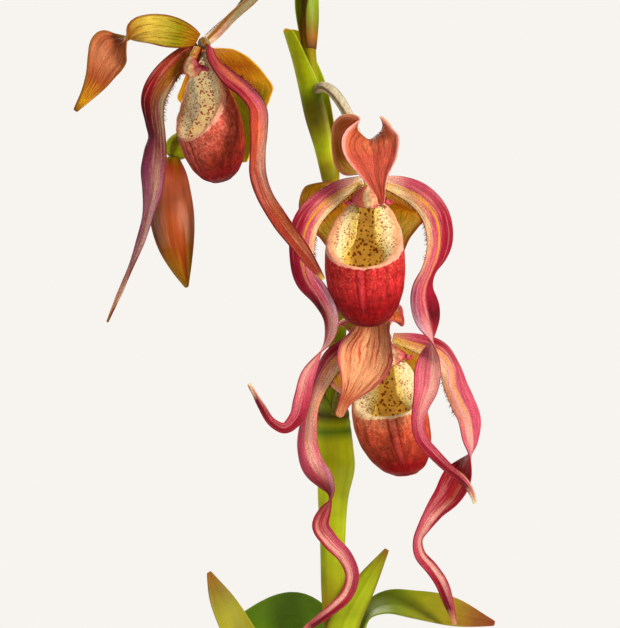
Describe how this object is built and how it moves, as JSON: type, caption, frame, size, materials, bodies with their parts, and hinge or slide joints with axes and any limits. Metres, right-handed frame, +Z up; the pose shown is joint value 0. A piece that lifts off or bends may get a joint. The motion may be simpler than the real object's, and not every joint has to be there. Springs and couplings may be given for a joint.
{
  "type": "phragmipedium orchid in a clay pot",
  "caption": "Long-petalled slipper orchid in bloom, upright in a plain clay pot of bark: strap leaves, tall stem, hanging pouched flowers and a closed bud.",
  "frame": {"origin": "centre of the pot's flat foot", "axes": "+Z up along the pot's axis; the flowers face -Y; +X is to the viewer's right"},
  "size_m": [0.3388, 0.15, 0.5581],
  "materials": {
    "clay": "matte unglazed clay",
    "bark": "rough, dry",
    "crown": "matte, fibrous",
    "stem": "satin, faintly ribbed",
    "bract": "satin, ribbed lengthwise",
    "leaf": "satin, leathery",
    "ovary": "velvety",
    "petal": "soft satin",
    "sepal": "soft satin, veined",
    "synsepal": "soft satin, veined",
    "pouch": "waxy satin",
    "column": "waxy satin",
    "bud": "satin, streaked"
  },
  "bodies": {
    "root": {"bark_mix": "bark", "bract_lower": "bract", "bract_middle": "bract", "bract_top": "bract", "bract_upper": "bract", "bud": "bud", "column_1": "column", "column_2": "column", "column_3": "column", "crown": "crown", "dorsal_sepal_1": "sepal", "dorsal_sepal_2": "sepal", "dorsal_sepal_3": "sepal", "leaf_behind": "leaf", "leaf_front": "leaf", "leaf_left": "leaf", "leaf_low_left": "leaf", "leaf_low_right": "leaf", "leaf_outer_left": "leaf", "leaf_outer_right": "leaf", "leaf_right": "leaf", "ovary_1": "ovary", "ovary_2": "ovary", "ovary_3": "ovary", "ovary_bud": "ovary", "petal_left_1": "petal", "petal_left_2": "petal", "petal_left_3": "petal", "petal_right_1": "petal", "petal_right_2": "petal", "petal_right_3": "petal", "pot": "clay", "pouch_1": "pouch", "pouch_2": "pouch", "pouch_3": "pouch", "stem": "stem", "synsepal_1": "synsepal", "synsepal_2": "synsepal", "synsepal_3": "synsepal"}
  },
  "joints": []
}
